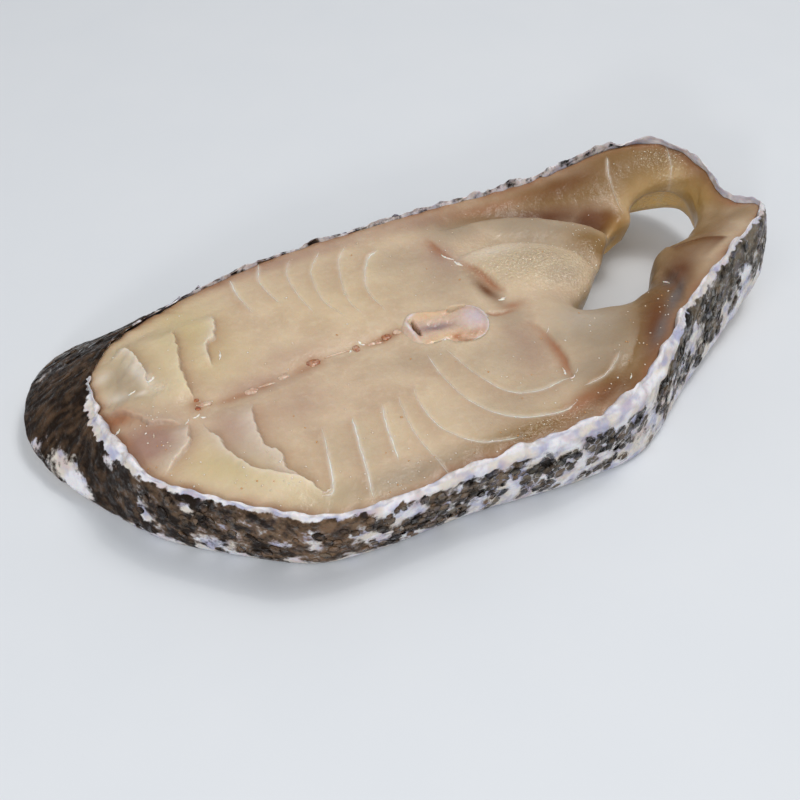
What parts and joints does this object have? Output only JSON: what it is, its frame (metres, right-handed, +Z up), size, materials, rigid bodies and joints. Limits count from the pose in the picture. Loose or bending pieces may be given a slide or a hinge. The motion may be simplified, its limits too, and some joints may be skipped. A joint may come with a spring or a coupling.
{
  "type": "grouper steak",
  "caption": "Thick grouper steak cut across the fish: pale flaked muscle round an open belly cavity, dark mottled scaly skin, and a vertebra in the middle.",
  "frame": {"origin": "middle of the steak's outline, at the level of its lower cut face", "axes": "+X from the back of the fish to its belly, +Y across its body, +Z up from the lower cut face"},
  "size_m": [0.2712, 0.1362, 0.0441],
  "materials": {
    "flesh": "moist translucent fish muscle",
    "skin": "wet mottled fish skin with scales",
    "bone": "moist bone and cartilage"
  },
  "bodies": {
    "root": {"flesh": "flesh", "skin": "skin", "backbone": "bone"}
  },
  "joints": []
}
